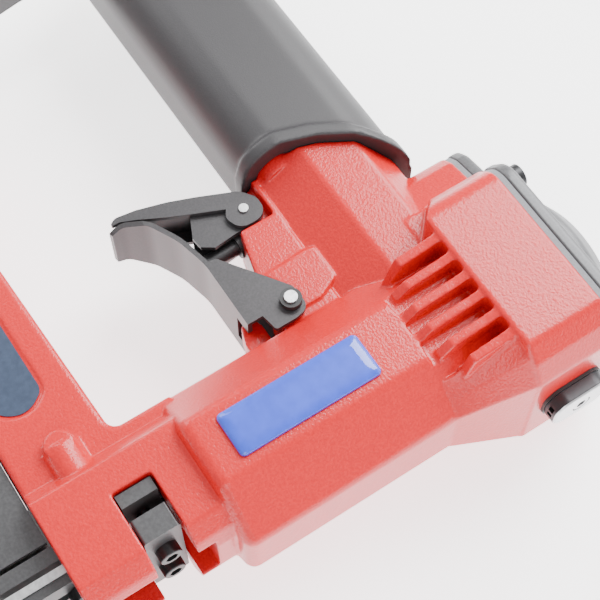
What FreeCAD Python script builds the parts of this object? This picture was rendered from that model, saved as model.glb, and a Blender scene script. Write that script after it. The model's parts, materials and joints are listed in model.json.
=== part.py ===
"""Pneumatic flooring nailer lying on its side, as a parametric FreeCAD document.

Frame: +Z up out of the visible side face, +Y towards the cylinder cap, +X towards the front
exhaust. The grip and the magazine arm run towards -X and the nose points to -Y. Sketches are
drawn about the barrel axis and the trigger pivot height, with the tool's mid-plane at z = 0.
Every piece is then moved by the same Placement, so that the tool rests on z = 0.
"""

import FreeCAD, Part
import math
import os

import Sketcher

doc = FreeCAD.newDocument("FlooringNailer")
sheet = doc.addObject("Spreadsheet::Sheet", "Dims")

# Driving dimensions in millimetres: name, value.
DIMENSIONS = [
    ("barrel_half", 25.0),        # barrel axis to each flat of the octagonal barrel
    ("barrel_bottom", -50.0),     # step from the barrel to the nose block
    ("head_bottom", 41.0),
    ("head_top", 66.7),
    ("head_half", 31.0),          # mid-plane to the side face of the head
    ("head_front", 32.2),         # barrel axis to the exhaust face of the head
    ("gasket_thickness", 1.8),
    ("cap_flange", 4.2),
    ("dome_height", 9.5),
    ("bore_radius", 19.0),        # hole in the barrel for the cylinder sleeve
    ("sleeve_wall", 2.8),
    ("fit_gap", 0.06),            # radial running clearance
    ("handle_axis", 34.0),
    ("handle_end", -184.0),
    ("grip_half_height", 23.3),
    ("grip_half_width", 19.5),
    ("arm_half", 13.0),           # magazine arm half width
    ("arm_end", -188.0),
    ("arm_lower", -93.6),
    ("nose_half", 19.5),
    ("nose_tip", -112.0),
    ("trigger_pivot", -31.0),
    ("trigger_half", 11.9),       # mid-plane to the outer face of a trigger ear
    ("sheet_steel", 1.5),
    ("lever_pivot_x", -66.4),
    ("lever_pivot_y", 5.9),
    ("lever_half", 9.1),
    ("stem_x", -60.8),
    ("stem_radius", 2.6),
    ("rib_pitch", 7.1),
    ("rib_width", 3.0),
    ("blade_half", 3.0),          # driver blade half width
    ("rest_height", 31.0),        # floor to the mid-plane
    ("shift_y", 20.4),            # barrel frame to the middle of the tool's length
    ("shift_x", 83.1),
]
for row, (alias, number) in enumerate(DIMENSIONS, start=1):
    sheet.set(f"A{row}", alias.replace("_", " "))
    sheet.set(f"B{row}", str(number))
    sheet.setAlias(f"B{row}", alias)
doc.recompute()


class Size:
    """A length with its value and the spreadsheet expression that gives it."""

    def __init__(self, number, text):
        self.number = number
        self.text = text

    def __add__(self, other):
        other = size(other)
        return Size(self.number + other.number, f"{self.text} + ({other.text})")

    def __sub__(self, other):
        other = size(other)
        return Size(self.number - other.number, f"{self.text} - ({other.text})")

    def __mul__(self, factor):
        return Size(self.number * factor, f"({self.text}) * {factor}")

    def __neg__(self):
        return Size(-self.number, f"-({self.text})")


def size(value):
    """A Size from a plain number or a Size."""
    return value if isinstance(value, Size) else Size(float(value), repr(float(value)))


def dim(alias):
    """The driving dimension of that name."""
    return Size(float(getattr(sheet, alias)), f"Dims.{alias}")


def new_body(name):
    """An empty PartDesign body, moved with the rest of the tool."""
    made = doc.addObject("PartDesign::Body", name)
    made.Label = name
    made.setExpression("Placement.Base.x", "Dims.shift_x")
    made.setExpression("Placement.Base.y", "Dims.shift_y")
    made.setExpression("Placement.Base.z", "Dims.rest_height")
    return made


class Ties:
    """The constraints of a sketch, added at once, with the expressions that drive them."""

    def __init__(self):
        self.constraints = []
        self.expressions = {}

    def add(self, *words):
        self.constraints.append(Sketcher.Constraint(*words))

    def bind(self, kind, *words):
        """A constraint whose value is bound to the sheet where it comes from there."""
        value = size(words[-1])
        if "Dims." in value.text:
            self.expressions[len(self.constraints)] = value.text
        self.add(kind, *words[:-1], value.number)

    def apply(self, sketch):
        first = sketch.ConstraintCount
        sketch.addConstraint(self.constraints)
        for index, text in self.expressions.items():
            sketch.setExpression(f"Constraints[{first + index}]", text)


def draw_outline(sketch, corners):
    """A closed outline through corners (a, b) or (a, b, radius), rounded by tangent arcs."""
    count = len(corners)
    places = [FreeCAD.Vector(size(c[0]).number, size(c[1]).number, 0) for c in corners]
    radii = [c[2] if len(c) > 2 else 0.0 for c in corners]
    starts, ends, arcs = [], [], []
    for i in range(count):
        here = places[i]
        if radii[i] == 0.0:
            starts.append(here)
            ends.append(here)
            arcs.append(None)
            continue
        back = (places[i - 1] - here).normalize()
        ahead = (places[(i + 1) % count] - here).normalize()
        half = math.acos(max(-1.0, min(1.0, back.dot(ahead)))) / 2
        setback = radii[i] / math.tan(half)
        centre = here + (back + ahead).normalize() * (radii[i] / math.sin(half))
        middle = centre + (here - centre).normalize() * radii[i]
        starts.append(here + back * setback)
        ends.append(here + ahead * setback)
        # Sketch arcs run anticlockwise, so a clockwise corner is drawn from its far end.
        if back.cross(ahead).z < 0:
            arcs.append((Part.Arc(starts[i], middle, ends[i]), 1, 2))
        else:
            arcs.append((Part.Arc(ends[i], middle, starts[i]), 2, 1))
    ties = Ties()
    corner_ids = list(sketch.addGeometry([Part.Point(place) for place in places], True))
    for corner, index in zip(corners, corner_ids):
        ties.bind("DistanceX", -1, 1, index, 1, corner[0])
        ties.bind("DistanceY", -1, 1, index, 1, corner[1])
    lines = [Part.LineSegment(ends[i], starts[(i + 1) % count]) for i in range(count)]
    line_ids = list(sketch.addGeometry(lines, False))
    for i in range(count):
        before, after, corner = line_ids[i - 1], line_ids[i], corner_ids[i]
        if arcs[i] is None:
            ties.add("Coincident", before, 2, corner, 1)
            ties.add("Coincident", after, 1, corner, 1)
            continue
        curve, first, last = arcs[i]
        arc = sketch.addGeometry(curve, False)
        ties.add("Tangent", before, 2, arc, first)
        ties.add("Tangent", arc, last, after, 1)
        ties.add("PointOnObject", corner, 1, before)
        ties.add("PointOnObject", corner, 1, after)
        ties.add("Radius", arc, radii[i])
    ties.apply(sketch)


def draw_circle(sketch, a, b, radius):
    """A circle with its centre and radius bound."""
    centre = FreeCAD.Vector(size(a).number, size(b).number, 0)
    circle = Part.Circle(centre, FreeCAD.Vector(0, 0, 1), size(radius).number)
    index = sketch.addGeometry(circle, False)
    ties = Ties()
    ties.bind("DistanceX", -1, 1, index, 3, a)
    ties.bind("DistanceY", -1, 1, index, 3, b)
    ties.bind("Radius", index, radius)
    ties.apply(sketch)


def new_sketch(body, plane, offset, shapes):
    """A sketch on the body's own plane. Shapes are corner lists or ("circle", a, b, radius)."""
    made = body.newObject("Sketcher::SketchObject", body.Name + "_sketch")
    role = plane + "_Plane"
    origin_plane = [o for o in body.Origin.OriginFeatures if o.Role == role][0]
    made.AttachmentSupport = (origin_plane, [""])
    made.MapMode = "FlatFace"
    made.setExpression("AttachmentOffset.Base.z", size(offset).text)
    for shape in shapes:
        if shape[0] == "circle":
            draw_circle(made, *shape[1:])
        else:
            draw_outline(made, shape)
    return made


def span_feature(body, kind, plane, low, high, shapes):
    """A Pad or Pocket of the shapes between two places along the plane's global axis."""
    low, high = size(low), size(high)
    # The XZ plane's normal is -Y, so there the sketch sits at the upper end.
    offset = -high if plane == "XZ" else low
    sketch = new_sketch(body, plane, offset, shapes)
    made = body.newObject(kind, body.Name + "_" + kind.split("::")[1].lower())
    made.Profile = sketch
    made.setExpression("Length", (high - low).text)
    if kind == "PartDesign::Pocket":
        made.Reversed = True
    return made


def pad(body, plane, low, high, *shapes):
    return span_feature(body, "PartDesign::Pad", plane, low, high, shapes)


pockets = []


def pocket(body, plane, low, high, *shapes):
    """Cuts the shapes out of the body. The cuts are measured once all is computed."""
    made = span_feature(body, "PartDesign::Pocket", plane, low, high, shapes)
    pockets.append(made)
    return made


def loft(body, plane, sections):
    """An additive ruled loft through (place along the axis, corners) sections."""
    sketches = []
    for place, corners in sections:
        offset = -size(place) if plane == "XZ" else size(place)
        sketches.append(new_sketch(body, plane, offset, [corners]))
    made = body.newObject("PartDesign::AdditiveLoft", body.Name + "_loft")
    made.Profile = sketches[0]
    made.Sections = sketches[1:]
    made.Ruled = True
    return made


def turned(body, plane, corners, axis_name):
    """A full revolution of the corners about the body's own origin axis."""
    sketch = new_sketch(body, plane, 0.0, [corners])
    axis = [o for o in body.Origin.OriginFeatures if o.Role == axis_name + "_Axis"][0]
    made = body.newObject("PartDesign::Revolution", body.Name + "_turned")
    made.Profile = sketch
    made.ReferenceAxis = (axis, [""])
    made.Angle = 360.0
    return made


def round_edges(body, radius, chosen):
    """A Fillet on the edges that chosen() accepts by their bounding box, if any."""
    doc.recompute()
    tip = body.Tip
    names = []
    for number, edge in enumerate(tip.Shape.Edges, start=1):
        if edge.Length > 0.5 and chosen(edge.BoundBox):
            names.append(f"Edge{number}")
    if not names:
        raise RuntimeError(f"no edges to round on {body.Label}")
    made = body.newObject("PartDesign::Fillet", body.Name + "_fillet")
    made.Base = (tip, names)
    made.Radius = radius
    doc.recompute()
    return made


def flat_at(axis, place):
    """Accepts edges that lie wholly at one place along an axis."""
    def accepts(box):
        spans = {"x": (box.XMin, box.XMax), "y": (box.YMin, box.YMax), "z": (box.ZMin, box.ZMax)}
        low, high = spans[axis]
        return abs(low - place) < 0.02 and abs(high - place) < 0.02
    return accepts


def rect(a0, a1, b0, b1, radius=0.0):
    return [(a0, b0, radius), (a1, b0, radius), (a1, b1, radius), (a0, b1, radius)]


def octagon(half, radius):
    """A regular octagon by its flats' distance, in (x, z)."""
    side = math.tan(math.radians(22.5))
    near = half * side
    return [
        (-near, -half, radius), (near, -half, radius), (half, -near, radius), (half, near, radius),
        (near, half, radius), (-near, half, radius), (-half, near, radius), (-half, -near, radius),
    ]


def head_outline(inset):
    """The head seen along the barrel, with its narrow rear lobe, in (x, z)."""
    half = dim("head_half") - inset
    upper = [
        (-48.6 + inset, 9.0 - inset / 2, 6.0), (-43.5, 13.0 - inset, 4.0), (-33.0, 15.5 - inset, 3.0),
        (-32.0 + inset, 23.0 - inset, 5.0), (-26.5, half, 8.0), (23.8, half, 3.0),
        (28.6 - inset, 25.6 - inset, 2.5), (dim("head_front") - inset, 18.5, 4.0),
    ]
    lower = [(a, -size(b), r) for a, b, r in reversed(upper)]
    return upper + lower


# ---------------------------------------------------------------- the red casting
casting = new_body("body_casting")
pad(casting, "XZ", dim("head_bottom"), dim("head_top"), head_outline(0.0))
round_edges(casting, 0.9, flat_at("y", 41.0))
pad(casting, "XZ", dim("barrel_bottom"), dim("head_bottom") + 1.0, octagon(dim("barrel_half"), 4.0))
round_edges(casting, 3.6, flat_at("y", -50.0))
# Front shoulder that flares from the barrel's front facets out to the head.
flare_low = [(16.0, 19.4), (20.7, 14.7), (25.0, 10.4)]
flare_high = [(19.2, 30.4), (26.3, 27.6), (32.0, 18.5)]
loft(casting, "XZ", [
    (19.0, flare_low + [(a, -b) for a, b in reversed(flare_low)]),
    (dim("head_bottom") + 1.0, flare_high + [(a, -b) for a, b in reversed(flare_high)]),
])
# The side facets fall away behind the badge, under the cooling ribs.
for low, high in ((22.9, 26.0), (-26.0, -22.9)):
    pocket(casting, "XY", low, high, [
        (-16.0, 18.0), (-5.0, 19.0, 6.0), (5.0, 19.0, 6.0), (16.0, 18.0), (16.0, 40.9), (-16.0, 40.9),
    ])
# The head's rear corners are cut back above the neck.
for low, high in ((17.2, 33.0), (-33.0, -17.2)):
    pocket(casting, "XY", low, high, [(-22.6, 40.2), (-34.0, 50.6), (-60.0, 50.6), (-60.0, 40.2)])
# Handle neck, from the barrel into the grip.
neck = [
    (dim("handle_axis") - 26.0, 5.0, 3.0), (dim("handle_axis") - 21.0, 7.4, 3.0),
    (dim("handle_axis") - 5.0, 17.0, 3.0), (dim("handle_axis") + 11.0, 17.0, 3.0),
    (dim("handle_axis") + 20.0, 9.0, 5.0), (dim("handle_axis") + 22.0, 0.0, 4.0),
]
neck_half = [(a, b, r) for a, b, r in neck[:5]]
neck_section = neck_half + [(a, -b, r) for a, b, r in reversed(neck_half)]
pad(casting, "YZ", -76.0, -15.0, neck_section)
# The neck ends along the slanted front lip of the grip.
lip_curve = [
    (-69.0, 0.0), (-73.8, 13.0), (-73.6, 24.0), (-70.0, 35.0), (-64.5, 44.5), (-57.0, 52.6), (-50.5, 59.5),
]
neck_cut = [(a + 0.1, b) for a, b in lip_curve] + [(-90.0, 62.0), (-90.0, 0.0)]
pocket(casting, "XY", -25.0, 25.0, neck_cut)
# Room for the lever's side plates beside the pin lug.
for low, high in ((5.2, 14.0), (-14.0, -5.2)):
    pocket(casting, "XY", low, high, rect(-80.0, -60.4, -4.0, 12.6))
# Handle tube inside the grip sleeve. Its last stretch stays within the neck.
pad(casting, "YZ", dim("handle_end"), -70.0, rect(
    dim("handle_axis") - 19.0, dim("handle_axis") + 19.0, -14.0, 14.0, 9.0))
pad(casting, "YZ", -71.0, -55.0, rect(
    dim("handle_axis") - 10.0, dim("handle_axis") + 19.0, -14.0, 14.0, 9.0))
# Lugs under the neck for the valve, the lever pin and the trigger pin.
pad(casting, "XY", -9.0, 9.0, [
    (-60.4, 0.9, 1.0), (-45.3, -3.3, 1.0), (-43.0, -1.6, 1.0), (-35.8, 2.6, 1.0), (-36.3, -1.5, 2.0),
    (-34.4, -4.6, 2.0), (-28.0, -5.6, 1.0), (-20.0, -5.6), (-20.0, 13.0), (-73.4, 14.4), (-73.4, 12.8),
    (-60.4, 12.8),
])
# Raised boss under each trigger ear.
pad(casting, "XY", -10.1, 10.1, [
    (-43.4, -1.8), (-44.4, 16.2, 2.0), (-31.5, 16.2, 2.5), (-28.2, 9.0, 1.0), (-28.2, 1.0), (-35.8, 2.6),
])
pad(casting, "XY", -5.2, 5.2, [
    (-71.0, 6.0, 3.5), (-66.0, 1.4, 3.0), (-58.0, 1.4), (-58.0, 16.0), (-72.0, 16.0),
])
# Stop lug under the trigger.
pad(casting, "XY", -5.0, 5.0, [
    (-36.4, -11.0, 1.5), (-35.0, -15.0, 2.0), (-29.0, -17.0, 2.0), (-20.0, -17.0), (-20.0, -9.4),
    (-32.0, -9.4, 1.5),
])
# Nose block and magazine arm, one frame below the barrel.
nose_half = dim("nose_half")
nose_upper = [(-24.6, 8.0, 3.0), (-19.0, 14.0, 3.0), (-15.0, nose_half, 1.5), (13.0, nose_half, 2.0),
              (17.5, 14.0, 3.0), (19.0, 8.0, 3.0)]
pad(casting, "XZ", dim("arm_lower"), dim("barrel_bottom") + 6.0,
    nose_upper + [(a, -size(b), r) for a, b, r in reversed(nose_upper)])
arm_half = dim("arm_half")
pad(casting, "XY", -arm_half, arm_half, [
    (dim("arm_end"), -69.5, 3.0), (-24.6, -63.7, 3.5), (-24.6, -45.0), (-8.0, -45.0),
    (-8.0, dim("arm_lower")), (dim("arm_end"), dim("arm_lower"), 1.5),
])
round_edges(casting, 1.6, lambda box: (
    abs(abs(box.ZMin) - 13.0) < 0.02 and abs(box.ZMax - box.ZMin) < 0.02
    and box.YMin > -70.0 and box.YMax < -60.0 and box.XMin < -40.0))
for face in (1, -1):
    pad(casting, "YZ", -27.0, -15.0, ("circle", -78.2, face * 11.8, 5.7))
    pad(casting, "XY", *((11.0, 16.6) if face == 1 else (-16.6, -11.0)), ("circle", -27.0, -78.2, 4.4))
# Cooling ribs on both side faces.
for face in (1, -1):
    for index in range(6):
        middle = (index - 2.5) * 7.1
        fall = max(0.0, abs(middle) - 10.4)
        root = 22.0 - fall
        start = 18.0 + 0.3 * abs(middle)
        profile = [
            (start, face * (24.6 - fall)), (start + 4.0, face * 28.0), (37.0, face * 29.2),
            (42.5, face * 30.4), (42.5, face * root), (start, face * root),
        ]
        centre = dim("rib_pitch") * (index - 2.5)
        pad(casting, "YZ", centre - dim("rib_width") * 0.5, centre + dim("rib_width") * 0.5, profile)
# Arm name recess, the same on both sides.
for low, high in ((12.3, 14.0), (-14.0, -12.3)):
    pocket(casting, "XY", low, high, [
        (-118.0, -90.0, 6.0), (-45.0, -90.0, 8.0), (-39.5, -81.0, 8.0), (-45.0, -73.0, 5.0),
        (-118.0, -74.0, 6.0),
    ])
# Cylinder bore, head chamber, handle air chamber and the passage in the rear lobe.
pocket(casting, "XZ", -46.0, dim("head_top") + 1.0, ("circle", 0.0, 0.0, dim("bore_radius")))
pocket(casting, "XZ", 45.0, dim("head_top") + 1.0, ("circle", 0.0, 0.0, 24.0))
pocket(casting, "XZ", 52.0, dim("head_top") + 1.0, rect(-43.0, -33.0, -5.0, 5.0, 2.0))
pocket(casting, "YZ", dim("handle_end") - 1.0, -15.0, ("circle", dim("handle_axis"), 0.0, 10.5))
# Valve bore up into the air chamber.
pocket(casting, "XZ", -1.0, dim("handle_axis"), ("circle", dim("stem_x"), 0.0, 4.0))
# Pin holes.
pocket(casting, "XY", -16.0, 16.0, ("circle", dim("trigger_pivot"), 0.0, 2.03))
pocket(casting, "XY", -16.0, 16.0, ("circle", dim("lever_pivot_x"), dim("lever_pivot_y"), 1.53))
# Magazine channel through the arm, open below, and the seat of the driver guide in the nose.
pocket(casting, "XY", -9.0, 9.0, [
    (dim("arm_end") - 1.0, -72.0), (-5.0, -72.0), (-5.0, -100.0), (dim("arm_end") - 1.0, -100.0),
])
pocket(casting, "XY", -10.0, 10.0, rect(-5.5, 25.0, -100.0, -56.0))
pocket(casting, "XY", -25.0, 25.0, rect(-5.5, 25.0, -73.7, -61.5, 0.6))
pocket(casting, "XZ", -60.0, -44.0, rect(-1.4, 1.4, -4.0, 4.0))
# Exhaust passage from the head chamber to the front boss.
exhaust_y = 55.3
pocket(casting, "YZ", 15.0, 40.0, ("circle", exhaust_y - 5.6, 0.0, 2.6))
pocket(casting, "YZ", 25.5, 38.0, ("circle", exhaust_y, 0.0, 1.6))
# Threaded holes of the cap, exhaust and handle end.
cap_screw_places = [(-25.0, 21.5), (-25.0, -21.5), (23.5, 22.0), (23.5, -22.0)]
for a, b in cap_screw_places:
    pocket(casting, "XZ", 50.0, dim("head_top") + 1.0, ("circle", a, b, 2.5))
for place in (18.0, 50.0):
    pocket(casting, "YZ", dim("handle_end") - 1.0, -175.0, ("circle", place, 0.0, 2.0))
pocket(casting, "XZ", -73.0, -60.0, ("circle", -173.2, 0.0, 2.0))
made_bodies = []

# ---------------------------------------------------------------- cylinder and driver
sleeve_outer = dim("bore_radius") - dim("fit_gap")
sleeve_inner = sleeve_outer - dim("sleeve_wall")
sleeve = new_body("cylinder_sleeve")
turned(sleeve, "XY", rect(sleeve_inner, sleeve_outer, -45.9, 45.0), "Y")

bumper = new_body("bumper")
turned(bumper, "XY", [
    (4.4, -45.9), (sleeve_inner - 0.3, -45.9), (sleeve_inner - 0.3, -36.0, 2.0), (13.0, -30.0, 2.0),
    (4.4, -30.0, 1.0),
], "Y")

piston_radius = sleeve_inner - dim("fit_gap")
piston = new_body("piston")
turned(piston, "XY", [
    (0.0, 14.0), (piston_radius, 14.0), (piston_radius, 19.0), (13.6, 19.0), (13.6, 22.0),
    (piston_radius, 22.0), (piston_radius, 28.0), (11.0, 28.0), (11.0, 24.0), (0.0, 24.0),
], "Y")
ring = new_body("piston_ring")
turned(ring, "XY", rect(13.6, piston_radius + 0.02, 19.0, 22.0), "Y")
blade = new_body("driver_blade")
pad(blade, "XY", -dim("blade_half"), dim("blade_half"), rect(-0.7, 0.7, -68.0, 14.0))

valve = new_body("head_valve")
turned(valve, "XY", [
    (9.0, 45.3, 0.6), (23.9, 45.3), (23.9, 55.0), (18.0, 55.0), (18.0, 51.0), (9.0, 51.0),
], "Y")

# ---------------------------------------------------------------- cap
gasket_top = dim("head_top") + dim("gasket_thickness")
valve_spring = new_body("head_valve_spring")
turned(valve_spring, "XY", rect(18.6, 20.8, 55.0, gasket_top), "Y")
cap_gasket = new_body("cap_gasket")
pad(cap_gasket, "XZ", dim("head_top"), gasket_top, head_outline(0.5))
pocket(cap_gasket, "XZ", 60.0, 72.0, ("circle", 0.0, 0.0, 24.0))
pocket(cap_gasket, "XZ", 60.0, 72.0, rect(-43.0, -33.0, -5.0, 5.0, 2.0))
cap = new_body("cylinder_cap")
flange_top = gasket_top + dim("cap_flange")
pad(cap, "XZ", gasket_top, flange_top, head_outline(0.2))
round_edges(cap, 1.4, flat_at("y", flange_top.number))
turned(cap, "XY", [
    (0.0, 71.0), (26.6, 71.0), (26.6, 75.6, 3.0), (18.5, 81.8, 12.0), (0.0, flange_top + dim("dome_height")),
], "Y")
for a, b in cap_screw_places:
    pocket(cap_gasket, "XZ", 60.0, 72.0, ("circle", a, b, 2.7))
    pocket(cap, "XZ", 68.0, 90.0, ("circle", a, b, 2.7))
made_bodies += [sleeve, bumper, piston, ring, blade, valve, valve_spring, cap_gasket, cap]


def hexagon(a, b, across):
    """Corners of a hexagon by its width across flats."""
    radius = across / 2 / math.cos(math.radians(30))
    return [(a + radius * math.cos(math.radians(60 * i)), b + radius * math.sin(math.radians(60 * i)))
            for i in range(6)]


def socket_screw(name, plane, a, b, seat, tip, head_radius, head_height, shank_radius):
    """A socket-head screw along the plane's axis, its head outside the seat, away from the tip."""
    screw = new_body(name)
    seat = size(seat)
    outward = 1.0 if seat.number > tip else -1.0
    top = seat + outward * head_height
    floor = seat + outward * (head_height * 0.4)
    ends = (seat, top) if outward > 0 else (top, seat)
    pad(screw, plane, *ends, ("circle", a, b, head_radius))
    round_edges(screw, 0.4, flat_at({"XY": "z", "XZ": "y", "YZ": "x"}[plane], top.number))
    ends = (size(tip), seat) if outward > 0 else (seat, size(tip))
    pad(screw, plane, *ends, ("circle", a, b, shank_radius))
    ends = (floor, top + 1.0) if outward > 0 else (top - 1.0, floor)
    pocket(screw, plane, *ends, hexagon(a, b, head_radius))
    made_bodies.append(screw)
    return screw


for index, (a, b) in enumerate(cap_screw_places, start=1):
    socket_screw(f"cap_screw_{index}", "XZ", a, b, flange_top, 52.0, 3.7, 4.4, 2.45)

# ---------------------------------------------------------------- front exhaust
front = dim("head_front")
exhaust_gasket = new_body("exhaust_gasket")
pad(exhaust_gasket, "YZ", front, front + 1.0, rect(exhaust_y - 10.2, exhaust_y + 10.2, -6.6, 6.6, 5.0))
pocket(exhaust_gasket, "YZ", 31.0, 35.0, ("circle", exhaust_y, 0.0, 1.7), ("circle", exhaust_y - 5.6, 0.0, 2.6))
exhaust_cover = new_body("exhaust_cover")
pad(exhaust_cover, "YZ", front + 1.1, front + 5.6, rect(exhaust_y - 9.8, exhaust_y + 9.8, -6.2, 6.2, 5.0))
round_edges(exhaust_cover, 1.0, flat_at("x", (front + 5.6).number))
pocket(exhaust_cover, "YZ", front + 1.0, front + 4.2, rect(
    exhaust_y - 8.4, exhaust_y + 8.4, -4.9, 4.9, 4.0), ("circle", exhaust_y, 0.0, 4.2))
pocket(exhaust_cover, "YZ", front, 40.0, ("circle", exhaust_y, 0.0, 1.7))
pocket(exhaust_cover, "YZ", front + 3.5, 40.0, ("circle", exhaust_y, 0.0, 3.1))
for place in (-2.7, 0.0, 2.7):
    pocket(exhaust_cover, "XY", place - 0.9, place + 0.9, rect(34.4, 36.2, 42.0, 48.5))
made_bodies += [exhaust_gasket, exhaust_cover]
socket_screw("exhaust_screw", "YZ", exhaust_y, 0.0, front + 3.6, 26.5, 2.9, 1.9, 1.55)

# ---------------------------------------------------------------- grip and handle end
axis = dim("handle_axis")
tall, wide = dim("grip_half_height"), dim("grip_half_width")
grip = new_body("grip_sleeve")
pad(grip, "YZ", -84.0, -46.0, rect(axis - tall - 1.4, axis + tall + 1.4, -wide - 1.5, wide + 1.5, 15.0))
behind_lip = [(a - 5.0, b) for a, b in lip_curve]
behind_lip = [(-72.0, -6.0)] + behind_lip[1:-1] + [(-54.0, 66.0), (-90.0, 66.0), (-90.0, -6.0)]
pocket(grip, "XY", -30.0, 30.0, behind_lip)
pad(grip, "YZ", dim("handle_end") + 2.0, -46.0, rect(axis - tall, axis + tall, -wide, wide, 14.0))
pocket(grip, "YZ", dim("handle_end") + 1.0, -40.0, rect(
    axis - 19.1, axis + 19.1, -14.1, 14.1, 9.0))
ahead_of_lip = [(-68.0, -6.0)] + lip_curve[1:-1] + [(-46.0, 66.0), (-30.0, 66.0), (-30.0, -6.0)]
pocket(grip, "XY", -30.0, 30.0, ahead_of_lip)

end_face = dim("handle_end")
seal = new_body("handle_seal")
pad(seal, "YZ", end_face - 1.0, end_face, rect(14.0, 54.0, -15.0, 15.0, 8.0))
pocket(seal, "YZ", end_face - 2.0, end_face + 1.0, ("circle", axis, 0.0, 9.0), ("circle", 18.0, 0.0, 2.1),
       ("circle", 50.0, 0.0, 2.1))
end_cap = new_body("handle_end_cap")
pad(end_cap, "YZ", end_face - 8.0, end_face - 1.0, rect(12.0, 56.0, -17.5, 17.5, 11.0))
round_edges(end_cap, 1.5, flat_at("x", (end_face - 8.0).number))
pocket(end_cap, "YZ", end_face - 9.0, end_face, ("circle", axis, 0.0, 8.0), ("circle", 18.0, 0.0, 2.1),
       ("circle", 50.0, 0.0, 2.1))
inlet = new_body("air_inlet_fitting")
pad(inlet, "YZ", end_face - 8.0, end_face - 2.0, ("circle", axis, 0.0, 7.9))
pad(inlet, "YZ", end_face - 20.0, end_face - 8.0, hexagon(34.0, 0.0, 19.0))
pocket(inlet, "YZ", end_face - 21.0, end_face - 1.0, ("circle", axis, 0.0, 5.7))
stay = new_body("rear_stay")
pad(stay, "XY", -6.0, 6.0, [
    (-183.0, -69.3), (-169.0, -68.8), (-169.0, -64.4, 1.0), (-177.4, -64.0, 3.0), (-186.0, -10.0, 10.0),
    (-186.0, 11.7), (-192.1, 11.7), (-192.1, 22.6, 0.4), (-194.5, 22.6, 1.0), (-194.5, 8.0, 3.0),
    (-191.5, -10.0, 10.0), (-183.0, -60.0, 5.0),
])
pocket(stay, "XZ", -75.0, -60.0, ("circle", -173.2, 0.0, 2.1))
pocket(stay, "YZ", -196.0, -191.0, ("circle", 18.0, 0.0, 2.1))
pocket(stay, "XZ", -64.3, -58.0, ("circle", -173.2, 0.0, 3.8))
made_bodies += [grip, seal, end_cap, inlet, stay]
socket_screw("stay_screw", "XZ", -173.2, 0.0, -64.3, -71.5, 3.4, 3.4, 1.95)
socket_screw("end_cap_screw_1", "YZ", 18.0, 0.0, -194.5, -176.0, 3.4, 3.0, 1.95)
socket_screw("end_cap_screw_2", "YZ", 50.0, 0.0, -192.0, -176.0, 3.4, 3.0, 1.95)

# ---------------------------------------------------------------- trigger, lever and valve
trigger_half = dim("trigger_half")
trigger = new_body("trigger")
pad(trigger, "XY", -trigger_half, trigger_half, [
    (-31.4, -14.6), (-31.4, -13.1), (-55.0, -13.1, 22.0), (-66.6, -15.7, 22.0), (-76.4, -20.6, 10.0),
    (-82.2, -27.9, 5.5), (-81.9, -32.2), (-80.4, -31.9), (-80.5, -28.3, 4.0), (-75.5, -21.9, 8.5),
    (-66.1, -17.2, 20.5), (-55.0, -14.6, 20.5),
])
ear = [
    (-55.6, -14.6, 1.0), (-55.0, -10.9, 1.5), (-35.0, 3.2, 3.0), (-26.6, 3.6, 3.5), (-25.6, -1.5, 2.0),
    (-25.6, -8.4, 1.0), (-31.4, -9.5), (-31.4, -14.6),
]
pad(trigger, "XY", trigger_half - dim("sheet_steel"), trigger_half, ear)
pad(trigger, "XY", -trigger_half, dim("sheet_steel") - trigger_half, ear)
pocket(trigger, "XY", -6.0, 6.0, rect(-37.6, -30.0, -20.0, -9.0))
# The finger blade narrows to a rounded tip.
for side in (1, -1):
    pocket(trigger, "YZ", -90.0, -72.0, [
        (-36.0, side * 13.0), (-36.0, side * 5.0), (-31.2, side * 8.4, 3.0), (-20.0, side * 13.0),
    ])
pocket(trigger, "XY", -15.0, 15.0, ("circle", dim("trigger_pivot"), 0.0, 2.06))
trigger_pin = new_body("trigger_pin")
pad(trigger_pin, "XY", -15.0, 15.0, ("circle", dim("trigger_pivot"), 0.0, 2.0))
for name, low, high in (("trigger_collar_near", 12.1, 14.2), ("trigger_collar_far", -14.2, -12.1)):
    collar = new_body(name)
    pad(collar, "XY", low, high, ("circle", dim("trigger_pivot"), 0.0, 3.3))
    pocket(collar, "XY", low - 1, high + 1, ("circle", dim("trigger_pivot"), 0.0, 2.0))
    made_bodies.append(collar)

lever_half = dim("lever_half")
lever = new_body("guard_lever")
lever_side = [
    (-82.9, -31.8, 0.5), (-84.9, -28.5, 3.0), (-83.9, -21.8, 8.0), (-81.2, -12.5, 20.0),
    (-77.8, -3.8, 20.0), (-72.5, 8.2, 8.0), (-68.0, 11.4, 4.5), (-61.0, 11.4, 4.5), (-60.9, 1.4, 4.5),
    (-66.5, -0.4, 3.0), (-69.2, 1.3), (-72.7, -6.7), (-76.6, -15.2), (-80.8, -23.2), (-82.9, -28.0),
]
pad(lever, "XY", -lever_half, lever_half, [
    (-83.1, -29.5), (-84.6, -28.9, 0.5), (-83.9, -21.8, 8.0), (-81.2, -12.5, 20.0), (-77.8, -3.8, 20.0),
    (-74.6, 3.4), (-73.2, 2.8), (-76.4, -4.3, 18.5), (-79.8, -12.9, 18.5), (-82.4, -22.0, 6.5),
])
pad(lever, "XY", lever_half - dim("sheet_steel"), lever_half, lever_side)
pad(lever, "XY", -lever_half, dim("sheet_steel") - lever_half, lever_side)
pocket(lever, "XY", -12.0, 12.0, ("circle", dim("lever_pivot_x"), dim("lever_pivot_y"), 1.56))
shoe_side = [
    (-74.1, -8.6), (-67.1, -11.9, 0.5), (-63.0, -11.4, 0.5), (-60.6, -7.8, 0.5), (-61.4, 0.0), (-61.0, 4.0, 2.0),
    (-61.5, 10.5, 3.0), (-70.0, 10.5, 3.0), (-72.6, 2.0),
]
lever_shoe = new_body("lever_shoe")
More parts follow.
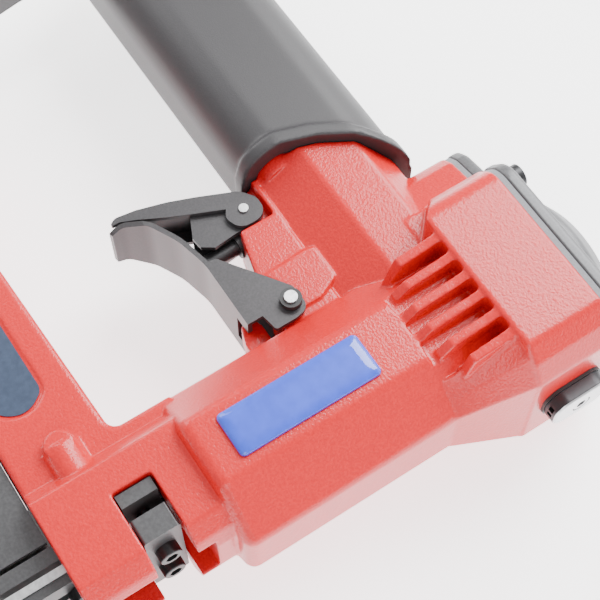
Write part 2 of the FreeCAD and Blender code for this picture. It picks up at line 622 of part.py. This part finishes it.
pad(lever_shoe, "XY", 5.6, 7.2, shoe_side)
pad(lever_shoe, "XY", -7.2, -5.6, shoe_side)
pad(lever_shoe, "XY", -6.4, 6.4, [(-74.1, -8.6), (-72.9, -9.2), (-71.6, 0.5), (-72.8, 1.2)])
pocket(lever_shoe, "XY", -12.0, 12.0, ("circle", dim("lever_pivot_x"), dim("lever_pivot_y"), 1.56))
lever_pin = new_body("lever_pin")
pad(lever_pin, "XY", -9.8, 9.8, ("circle", dim("lever_pivot_x"), dim("lever_pivot_y"), 1.5))

bush = new_body("valve_bush")
pad(bush, "XZ", -0.6, 14.0, ("circle", dim("stem_x"), 0.0, 3.94))
pocket(bush, "XZ", -2.0, 15.0, ("circle", dim("stem_x"), 0.0, dim("stem_radius") + dim("fit_gap")))
stem = new_body("valve_stem")
pad(stem, "XZ", -12.6, 20.0, ("circle", dim("stem_x"), 0.0, dim("stem_radius")))
round_edges(stem, 0.6, flat_at("y", -12.6))
stem_spring = new_body("valve_spring")
pad(stem_spring, "XZ", 20.0, 44.0, ("circle", dim("stem_x"), 0.0, 2.5), ("circle", dim("stem_x"), 0.0, 1.7))
made_bodies += [trigger, trigger_pin, lever, lever_shoe, lever_pin, bush, stem, stem_spring]

# ---------------------------------------------------------------- badges and labels
for name, low, high in (("side_badge_near", dim("barrel_half"), dim("barrel_half") + 2.2),
                        ("side_badge_far", -dim("barrel_half") - 2.2, -dim("barrel_half"))):
    badge = new_body(name)
    pad(badge, "XY", low, high, rect(-7.1, 7.1, -40.0, 5.4, 1.2))
    outer = high.number if high.number > 0 else low.number
    round_edges(badge, 1.0, flat_at("z", outer))
    made_bodies.append(badge)
for name, low, high in (("arm_label_near", 12.3, 12.7), ("arm_label_far", -12.7, -12.3)):
    label = new_body(name)
    pad(label, "XY", low, high, [
        (-117.0, -89.0, 5.0), (-45.4, -89.0, 7.0), (-40.7, -81.0, 7.0), (-45.6, -74.1, 4.0),
        (-117.0, -75.0, 5.0),
    ])
    made_bodies.append(label)

# ---------------------------------------------------------------- magazine
channel = new_body("magazine_channel")
pad(channel, "YZ", -187.0, -6.0, [
    (-93.6, 8.9), (-72.1, 8.9, 1.5), (-72.1, -8.9, 1.5), (-93.6, -8.9), (-93.6, -7.7), (-73.3, -7.7, 0.5),
    (-73.3, 7.7, 0.5), (-93.6, 7.7),
])
slide = new_body("magazine_slide")
pad(slide, "YZ", -188.5, -6.5, [
    (-94.1, 10.4), (-112.0, 10.4, 1.5), (-112.0, -10.4, 1.5), (-94.1, -10.4), (-94.1, -8.9),
    (-110.5, -8.9, 0.5), (-110.5, 8.9, 0.5), (-94.1, 8.9),
])
slide_end = new_body("magazine_end")
pad(slide_end, "XY", -12.5, 12.5, rect(-196.0, -188.5, -112.0, -72.0, 2.0))
pocket(slide_end, "XY", -6.2, 6.2, rect(-200.0, -190.2, -100.0, -68.0))
latch = new_body("magazine_latch")
pad(latch, "XY", -5.8, 5.8, [
    (-195.6, -93.0, 1.0), (-192.6, -93.0, 1.0), (-192.3, -68.9), (-185.4, -68.8, 0.4), (-185.4, -66.6, 0.5),
    (-197.0, -66.5, 2.0), (-199.5, -72.0, 3.0),
])
pocket(latch, "XY", -8.0, 8.0, ("circle", -194.6, -88.0, 1.06))
latch_pin = new_body("latch_pin")
pad(latch_pin, "XY", -9.0, 9.0, ("circle", -194.6, -88.0, 1.0))
pocket(slide_end, "XY", -9.2, 9.2, ("circle", -194.6, -88.0, 1.03))
pusher = new_body("pusher")
pad(pusher, "XY", -3.4, 3.4, rect(-20.0, -7.0, -110.2, -74.5, 1.0))
pusher_spring = new_body("pusher_spring")
pad(pusher_spring, "YZ", -188.0, -20.0, ("circle", -78.0, 0.0, 3.0), ("circle", -78.0, 0.0, 2.2))
made_bodies += [channel, slide, slide_end, latch, latch_pin, pusher, pusher_spring]

# ---------------------------------------------------------------- nose and shoe
tip = dim("nose_tip")
guide = new_body("driver_guide")
pad(guide, "YZ", -5.3, -0.75, rect(tip, -56.2, -9.7, 9.7))
pad(guide, "YZ", -4.9, -0.75, rect(-73.2, -62.2, -17.8, 17.8))
pocket(guide, "YZ", -6.0, 0.0, rect(-111.0, -73.6, -3.6, 3.6, 0.4))
nose_plate = new_body("nose_plate")
pad(nose_plate, "YZ", 0.85, 3.4, rect(tip, -56.4, -9.7, 9.7, 0.8))
clamp = new_body("nose_clamp")
pad(clamp, "YZ", 3.4, 11.0, rect(-73.2, -62.2, -17.8, 17.8, 0.8))
for index, place in enumerate((6.5, -6.5), start=1):
    for piece in (nose_plate, clamp):
        pocket(piece, "YZ", 0.0, 12.0, ("circle", -67.7, place, 2.05))
    pocket(guide, "YZ", -5.5, 0.0, ("circle", -67.7, place, 2.0))
    socket_screw(f"nose_screw_{index}", "YZ", -67.7, place, 11.0, -4.8, 3.4, 3.4, 1.95)
bracket = new_body("shoe_bracket")
pad(bracket, "YZ", 3.5, 6.2, rect(-117.0, -76.5, -9.0, 9.0, 1.0))
pad(bracket, "XZ", -117.0, -114.2, rect(3.5, 22.0, -9.0, 9.0))
pocket(bracket, "YZ", 3.0, 7.0, rect(-102.0, -82.0, -2.3, 2.3, 2.2))
shoe = new_body("flooring_shoe")
pad(shoe, "XZ", -123.0, -117.0, rect(-26.0, 34.0, -24.0, 24.0, 6.0))
round_edges(shoe, 1.5, flat_at("y", -123.0))
pocket(shoe, "XZ", -125.0, -116.0, rect(-6.0, 2.8, -6.0, 6.0, 1.0))
made_bodies += [guide, nose_plate, clamp, bracket, shoe]
socket_screw("shoe_clamp_screw", "YZ", -92.0, 0.0, 6.3, 1.2, 4.2, 3.6, 2.0)
pocket(nose_plate, "YZ", 0.0, 4.0, ("circle", -92.0, 0.0, 2.05))
for index, place in enumerate((6.0, -6.0), start=1):
    pocket(bracket, "XZ", -118.0, -112.0, ("circle", 16.0, place, 2.05))
    pocket(shoe, "XZ", -122.0, -116.0, ("circle", 16.0, place, 2.0))
    socket_screw(f"shoe_screw_{index}", "XZ", 16.0, place, -114.2, -121.5, 3.4, 3.0, 1.95)

# ---------------------------------------------------------------- checks and files
doc.recompute()
for item in doc.Objects:
    if "Invalid" in item.State or "Error" in item.State:
        raise RuntimeError(f"{item.Name} failed: {item.State}")
for cut in pockets:
    if cut.Shape.Volume >= cut.BaseFeature.Shape.Volume - 0.01:
        raise RuntimeError(f"{cut.Name} removed nothing")
os.makedirs("parts", exist_ok=True)
made_bodies.insert(0, casting)
names = set()
for piece in made_bodies:
    shape = piece.Shape
    if shape.isNull() or not shape.isValid() or len(shape.Solids) != 1:
        raise RuntimeError(f"{piece.Label} is not one valid solid")
    if piece.Label in names:
        raise RuntimeError(f"{piece.Label} is used twice")
    names.add(piece.Label)
    shape.exportStep(f"parts/{piece.Label}.step")
print(len(names), "pieces")
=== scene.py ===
"""Looks of the flooring nailer: materials, soft cast edges, coil springs, light and camera."""

import json
import math

import bmesh
import bpy
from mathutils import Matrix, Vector


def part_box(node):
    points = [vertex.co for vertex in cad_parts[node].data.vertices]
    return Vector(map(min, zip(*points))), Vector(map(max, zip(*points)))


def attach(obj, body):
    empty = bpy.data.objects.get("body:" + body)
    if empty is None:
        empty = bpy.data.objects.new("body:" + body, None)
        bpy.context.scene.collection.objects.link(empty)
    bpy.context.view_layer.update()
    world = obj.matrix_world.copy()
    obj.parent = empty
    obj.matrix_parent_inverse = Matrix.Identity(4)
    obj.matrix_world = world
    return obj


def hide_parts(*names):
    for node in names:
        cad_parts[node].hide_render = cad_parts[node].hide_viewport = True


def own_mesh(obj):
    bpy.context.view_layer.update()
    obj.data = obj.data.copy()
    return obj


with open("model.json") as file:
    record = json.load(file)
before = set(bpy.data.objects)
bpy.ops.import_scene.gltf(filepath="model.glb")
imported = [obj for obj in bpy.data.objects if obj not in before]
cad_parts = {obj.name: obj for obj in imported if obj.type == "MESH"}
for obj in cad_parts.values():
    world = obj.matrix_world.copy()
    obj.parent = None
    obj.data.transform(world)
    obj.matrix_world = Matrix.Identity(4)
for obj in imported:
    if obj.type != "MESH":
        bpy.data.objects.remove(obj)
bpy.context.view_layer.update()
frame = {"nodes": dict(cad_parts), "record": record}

# The drawing frame of the tool (barrel axis, trigger pivot height, mid-plane) in the row frame.
SHIFT = Vector((0.0831, 0.0204, 0.0310))
MILLIMETRE = 0.001
QUARTER_TURN = math.pi / 2
WHITE = (1.0, 1.0, 1.0, 1.0)


def at(x, y, z):
    """A place given in the drawing frame in millimetres, as a row-frame vector in metres."""
    return SHIFT + Vector((x, y, z)) * MILLIMETRE


# ---------------------------------------------------------------- materials
# Where a colour ramp leaves its dark tone and reaches its light one.
RAMP_START = 0.35
RAMP_END = 0.68
# How far a grained finish strays from its colour, as a share, and from its roughness.
TONE_SHARE = 0.12
ROUGHNESS_SPREAD = 0.12


def new_material(name, metallic=0.0, coat=0.0, coat_roughness=0.05, specular=0.5):
    """A Principled material. Returns the material, its node tree and the shader node."""
    made = bpy.data.materials.new(name)
    made.use_nodes = True
    tree = made.node_tree
    shader = tree.nodes["Principled BSDF"]
    shader.inputs["Metallic"].default_value = metallic
    shader.inputs["Coat Weight"].default_value = coat
    shader.inputs["Coat Roughness"].default_value = coat_roughness
    shader.inputs["Specular IOR Level"].default_value = specular
    return made, tree, shader


def noise_node(tree, scale, detail=2.0, roughness=0.5, stretch=None):
    """Object-space noise, optionally stretched along the axes."""
    coords = tree.nodes.new("ShaderNodeTexCoord")
    noise = tree.nodes.new("ShaderNodeTexNoise")
    noise.inputs["Scale"].default_value = scale
    noise.inputs["Detail"].default_value = detail
    noise.inputs["Roughness"].default_value = roughness
    if stretch is None:
        tree.links.new(coords.outputs["Object"], noise.inputs["Vector"])
    else:
        mapping = tree.nodes.new("ShaderNodeMapping")
        mapping.inputs["Scale"].default_value = stretch
        tree.links.new(coords.outputs["Object"], mapping.inputs["Vector"])
        tree.links.new(mapping.outputs["Vector"], noise.inputs["Vector"])
    return noise


def add_bump(tree, shader, height, strength, distance, sockets=("Normal",)):
    """A bump from a height output into the shader's normal sockets."""
    bump = tree.nodes.new("ShaderNodeBump")
    bump.inputs["Strength"].default_value = strength
    bump.inputs["Distance"].default_value = distance
    tree.links.new(height, bump.inputs["Height"])
    for socket in sockets:
        tree.links.new(bump.outputs["Normal"], shader.inputs[socket])


def vary_color(tree, shader, factor, dark, light):
    """Base colour between two tones, by a factor output."""
    ramp = tree.nodes.new("ShaderNodeValToRGB")
    ramp.color_ramp.elements[0].position = RAMP_START
    ramp.color_ramp.elements[1].position = RAMP_END
    ramp.color_ramp.elements[0].color = (*dark, 1.0)
    ramp.color_ramp.elements[1].color = (*light, 1.0)
    tree.links.new(factor, ramp.inputs["Fac"])
    tree.links.new(ramp.outputs["Color"], shader.inputs["Base Color"])


def vary_roughness(tree, shader, factor, low, high):
    """Roughness between two values, by a factor output."""
    spread = tree.nodes.new("ShaderNodeMapRange")
    spread.inputs["To Min"].default_value = low
    spread.inputs["To Max"].default_value = high
    tree.links.new(factor, spread.inputs["Value"])
    tree.links.new(spread.outputs["Result"], shader.inputs["Roughness"])


def grained(name, color, roughness, metallic=0.0, *, scale, strength, distance=0.0001, stretch=None,
            coat=0.0):
    """A finish with fine grain: two close tones, a spread of roughness and a small bump."""
    made, tree, shader = new_material(name, metallic, coat)
    grain = noise_node(tree, scale, 3.0, 0.55, stretch).outputs["Fac"]
    dark = tuple(channel * (1.0 - TONE_SHARE) for channel in color)
    light = tuple(channel * (1.0 + TONE_SHARE) for channel in color)
    vary_color(tree, shader, grain, dark, light)
    half_spread = ROUGHNESS_SPREAD / 2
    vary_roughness(tree, shader, grain, roughness - half_spread, roughness + half_spread)
    add_bump(tree, shader, grain, strength, distance)
    return made


def cast_red():
    """Gloss red enamel over a cast skin: fine pebbles and a soft swell, in enamel and coat alike."""
    swell_share = 0.25
    made, tree, shader = new_material("red_enamel", coat=0.30, coat_roughness=0.12, specular=0.32)
    shader.inputs["Roughness"].default_value = 0.36
    pebbles = noise_node(tree, 1300.0, 1.0, 0.55).outputs["Fac"]
    swell = noise_node(tree, 190.0, 1.0, 0.4).outputs["Fac"]
    height = tree.nodes.new("ShaderNodeMath")
    height.operation = "MULTIPLY_ADD"
    tree.links.new(swell, height.inputs[0])
    height.inputs[1].default_value = swell_share
    tree.links.new(pebbles, height.inputs[2])
    add_bump(tree, shader, height.outputs["Value"], 0.42, 0.00026, ("Normal", "Coat Normal"))
    vary_color(tree, shader, pebbles, (0.56, 0.006, 0.008), (0.64, 0.011, 0.012))
    return made


def two_tone_metal():
    """Dark anodised metal whose outer face is machined bright, by the place along X."""
    dark_until = at(37.0, 0.0, 0.0).x
    bright_from = at(37.3, 0.0, 0.0).x
    made, tree, shader = new_material("deflector_metal", metallic=0.8)
    coords = tree.nodes.new("ShaderNodeTexCoord")
    split = tree.nodes.new("ShaderNodeSeparateXYZ")
    tree.links.new(coords.outputs["Object"], split.inputs["Vector"])
    face = tree.nodes.new("ShaderNodeMapRange")
    face.inputs["From Min"].default_value = dark_until
    face.inputs["From Max"].default_value = bright_from
    tree.links.new(split.outputs["X"], face.inputs["Value"])
    vary_color(tree, shader, face.outputs["Result"], (0.045, 0.045, 0.048), (0.62, 0.62, 0.64))
    vary_roughness(tree, shader, face.outputs["Result"], 0.36, 0.28)
    add_bump(tree, shader, noise_node(tree, 1100.0).outputs["Fac"], 0.08, 0.0001)
    return made


def clear_dome_blue():
    """Royal blue print under a thick clear resin dome."""
    made, tree, shader = new_material("blue_dome", coat=1.0, coat_roughness=0.03, specular=0.25)
    shader.inputs["Roughness"].default_value = 0.40
    print_tone = noise_node(tree, 260.0).outputs["Fac"]
    vary_color(tree, shader, print_tone, (0.026, 0.070, 0.58), (0.036, 0.085, 0.66))
    waves = noise_node(tree, 120.0, 1.0).outputs["Fac"]
    add_bump(tree, shader, waves, 0.10, 0.0002, ("Coat Normal",))
    return made


MATERIALS = {
    "red_paint": cast_red(),
    "grip_rubber": grained("grip_rubber", (0.031, 0.0295, 0.032), 0.46, scale=2400.0, strength=0.30,
                           distance=0.00012),
    "grey_steel": grained("grey_steel", (0.055, 0.053, 0.056), 0.36, 0.35, scale=1500.0,
                          strength=0.12),
    "dark_steel": grained("dark_steel", (0.085, 0.085, 0.088), 0.40, 0.6, scale=1200.0,
                          strength=0.10),
    "bright_steel": grained("bright_steel", (0.70, 0.70, 0.71), 0.30, 0.9, scale=700.0,
                            strength=0.02, stretch=(1.0, 1.0, 8.0)),
    "cap_metal": grained("cap_metal", (0.12, 0.12, 0.125), 0.45, 0.5, scale=1300.0, strength=0.20),
    "cover_metal": grained("cover_metal", (0.46, 0.46, 0.48), 0.34, 0.9, scale=900.0, strength=0.10),
    "deflector_metal": two_tone_metal(),
    "gasket": grained("gasket_fibre", (0.21, 0.215, 0.23), 0.7, scale=1800.0, strength=0.2),
    "black_rubber": grained("black_rubber", (0.02, 0.02, 0.021), 0.5, scale=1500.0, strength=0.15),
    "screw_steel": grained("screw_steel", (0.045, 0.045, 0.048), 0.36, 0.7, scale=1200.0,
                           strength=0.10),
    "brass": grained("brass", (0.62, 0.44, 0.16), 0.28, 1.0, scale=700.0, strength=0.08),
    "blue_dome": clear_dome_blue(),
    "label_film": grained("label_film", (0.028, 0.045, 0.085), 0.32, scale=600.0, strength=0.05,
                          coat=0.3),
    "shoe_plastic": grained("shoe_plastic", (0.03, 0.03, 0.032), 0.5, scale=1400.0, strength=0.25),
}

slot_of = {entry["node"]: entry["material_slot"] for entry in frame["record"]["subparts"]}
for node, item in frame["nodes"].items():
    item.data.materials.clear()
    item.data.materials.append(MATERIALS[slot_of[node]])


# ---------------------------------------------------------------- replaced pieces
def show_mesh(mesh, name):
    """A smooth-shaded object with that mesh, linked into the scene."""
    mesh.polygons.foreach_set("use_smooth", [True] * len(mesh.polygons))
    made = bpy.data.objects.new(name, mesh)
    bpy.context.scene.collection.objects.link(made)
    return made


def closed_mesh(shape, name):
    """The mesh of a closed bmesh, its faces turned outward. It frees the bmesh."""
    bmesh.ops.recalc_face_normals(shape, faces=shape.faces)
    mesh = bpy.data.meshes.new(name)
    shape.to_mesh(mesh)
    shape.free()
    return mesh


def join_loops(shape, lower, upper):
    """Side faces between two closed loops with as many vertices each."""
    count = len(lower)
    for k in range(count):
        following = (k + 1) % count
        shape.faces.new((lower[k], lower[following], upper[following], upper[k]))


def take_over(made, node, body):
    """Puts a piece in the place of a CAD node, with that node's material and slot."""
    made.data.materials.clear()
    made.data.materials.append(MATERIALS[slot_of[node]])
    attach(made, body)
    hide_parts(node)


def soften(node, name, fine, passes):
    """Replaces a CAD node by a remeshed copy with soft, cast or moulded edges.
    """
    source = frame["nodes"][node]
    made = bpy.data.objects.new(name, source.data.copy())
    made.matrix_world = source.matrix_world.copy()
    bpy.context.scene.collection.objects.link(made)
    remesh = made.modifiers.new("remesh", "REMESH")
    remesh.mode = "VOXEL"
    remesh.voxel_size = fine
    smooth = made.modifiers.new("smooth", "SMOOTH")
    smooth.factor = 0.5
    smooth.iterations = passes
    bpy.context.view_layer.update()
    depsgraph = bpy.context.evaluated_depsgraph_get()
    mesh = bpy.data.meshes.new_from_object(made.evaluated_get(depsgraph))
    mesh.polygons.foreach_set("use_smooth", [True] * len(mesh.polygons))
    made.modifiers.clear()
    made.data = mesh
    take_over(made, node, "tool_body")


def resin_dome(node, name, side):
    """A badge with a crowned resin top that rolls down to its rim, in place of the flat CAD badge.

    The side is 1 where the top faces up along Z and -1 where it faces down.
    """
    roll = 0.0034
    rim_share = 0.28
    rim_corner = 0.0016
    least_corner = 0.0004
    corner_loss = 0.3
    corner_steps = 10
    rings = 9
    low, high = (Vector(corner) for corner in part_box(node))
    centre = (low + high) / 2
    half_x, half_y = (high.x - low.x) / 2, (high.y - low.y) / 2
    height = high.z - low.z
    base = low.z if side > 0 else high.z
    shape = bmesh.new()
    outlines = []
    for ring in range(rings + 1):
        turn = QUARTER_TURN * ring / rings
        inset = roll * (1.0 - math.cos(turn))
        rise = height * (rim_share + (1.0 - rim_share) * math.sin(turn))
        radius = max(least_corner, rim_corner - inset * corner_loss)
        outline = []
        for quadrant, (sx, sy) in enumerate(((1, 1), (-1, 1), (-1, -1), (1, -1))):
            for i in range(corner_steps + 1):
                angle = QUARTER_TURN * (quadrant + i / corner_steps)
                x = centre.x + sx * (half_x - inset - radius) + radius * math.cos(angle)
                y = centre.y + sy * (half_y - inset - radius) + radius * math.sin(angle)
                outline.append(shape.verts.new((x, y, base + side * rise)))
        outlines.append(outline)
    foot = [shape.verts.new((vertex.co.x, vertex.co.y, base)) for vertex in outlines[0]]
    outlines.insert(0, foot)
    for below, above in zip(outlines, outlines[1:]):
        join_loops(shape, below, above)
    shape.faces.new(list(reversed(foot)))
    shape.faces.new(outlines[-1])
    take_over(show_mesh(closed_mesh(shape, name), name), node, "tool_body")


def coil(node, name, body, axis, turns, wire):
    """A coil of round wire, of that radius, in the CAD tube of that node, along an axis 0, 1 or 2.
    """
    steps_per_turn = 24
    sides = 8
    low, high = (Vector(corner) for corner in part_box(node))
    centre = (low + high) / 2
    across, over = (i for i in range(3) if i != axis)
    radius = (high[across] - low[across]) / 2 - wire
    start, end = low[axis] + wire, high[axis] - wire
    steps = turns * steps_per_turn
    path = []
    for i in range(steps + 1):
        angle = 2 * math.pi * turns * i / steps
        point = centre.copy()
        point[axis] = start + (end - start) * i / steps
        point[across] += radius * math.cos(angle)
        point[over] += radius * math.sin(angle)
        path.append(point)
    shape = bmesh.new()
    rings = []
    for i, point in enumerate(path):
        ahead = (path[min(i + 1, steps)] - path[max(i - 1, 0)]).normalized()
        outward = point - centre
        outward[axis] = 0.0
        outward.normalize()
        sideways = ahead.cross(outward).normalized()
        outward = sideways.cross(ahead).normalized()
        ring = []
        for k in range(sides):
            turn = 2 * math.pi * k / sides
            spoke = outward * math.cos(turn) + sideways * math.sin(turn)
            ring.append(shape.verts.new(point + spoke * wire))
        rings.append(ring)
    for before, after in zip(rings, rings[1:]):
        join_loops(shape, before, after)
    shape.faces.new(rings[0])
    shape.faces.new(list(reversed(rings[-1])))
    made = show_mesh(closed_mesh(shape, name), name)
    take_over(made, node, body)
    along = Vector((0.0, 0.0, 0.0))
    along[axis] = 1.0
    anchor = centre.copy()
    anchor[axis] = high[axis]
    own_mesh(made)


soften("body_casting", "casting_skin", fine=0.00045, passes=3)
soften("grip_sleeve", "grip_skin", fine=0.0007, passes=5)
soften("cylinder_cap", "cap_skin", fine=0.0006, passes=2)
resin_dome("side_badge_near", "side_badge_near_dome", side=1.0)
resin_dome("side_badge_far", "side_badge_far_dome", side=-1.0)
coil("head_valve_spring", "head_valve_coil", "tool_body", axis=1, turns=4, wire=0.0009)
coil("valve_spring", "valve_coil", "tool_body", axis=1, turns=9, wire=0.0004)
coil("pusher_spring", "pusher_coil", "pusher_body", axis=0, turns=34, wire=0.0004)


# ---------------------------------------------------------------- floor, light and camera
def stage_floor():
    """A plain pale floor, its far edge rising into a soft backdrop.

    It glows, so that it stays near white under and around the tool.
    """
    half_width = 3.0
    flat_until = 2.0
    bend = 1.0
    top = 2.5
    bend_steps = 16
    profile = [(-half_width, 0.0), (flat_until, 0.0)]
    for i in range(1, bend_steps + 1):
        angle = QUARTER_TURN * i / bend_steps
        profile.append((flat_until + bend * math.sin(angle), bend * (1.0 - math.cos(angle))))
    profile.append((flat_until + bend, top))
    vertices = [(x, y, z) for y, z in profile for x in (-half_width, half_width)]
    faces = [(2 * i, 2 * i + 1, 2 * i + 3, 2 * i + 2) for i in range(len(profile) - 1)]
    mesh = bpy.data.meshes.new("floor")
    mesh.from_pydata(vertices, [], faces)
    made = show_mesh(mesh, "floor")
    material, _, shader = new_material("floor_paper", specular=0.2)
    shader.inputs["Roughness"].default_value = 0.7
    shader.inputs["Base Color"].default_value = (0.90, 0.90, 0.905, 1.0)
    shader.inputs["Emission Color"].default_value = WHITE
    shader.inputs["Emission Strength"].default_value = 2.20
    made.data.materials.append(material)


def area_light(name, place, target, size, power):
    """A soft square lamp that looks at the target."""
    lamp = bpy.data.lights.new(name, "AREA")
    lamp.energy = power
    lamp.size = size
    made = bpy.data.objects.new(name, lamp)
    made.location = place
    made.rotation_euler = (target - Vector(place)).to_track_quat("-Z", "Y").to_euler()
    bpy.context.scene.collection.objects.link(made)


stage_floor()
middle = at(0.0, 0.0, 20.0)
area_light("overhead", (-0.22, 0.78, 0.95), middle, size=0.75, power=30.0)
area_light("front_fill", (0.75, -0.35, 0.55), middle, size=0.5, power=3.5)
area_light("left_fill", (-0.85, -0.15, 0.6), middle, size=0.6, power=6.0)

world = bpy.data.worlds.new("studio")
world.use_nodes = True
background = world.node_tree.nodes["Background"]
background.inputs["Color"].default_value = WHITE
background.inputs["Strength"].default_value = 0.90
bpy.context.scene.world = world

camera_data = bpy.data.cameras.new("camera")
camera_data.sensor_width = 36.0
camera_data.lens = 85.2
camera_data.clip_start = 0.01
camera = bpy.data.objects.new("camera", camera_data)
camera.location = at(128.48, -101.22, 378.48)
camera.rotation_euler = (math.radians(27.3), 0.0, math.radians(56.8))
bpy.context.scene.collection.objects.link(camera)
bpy.context.scene.camera = camera
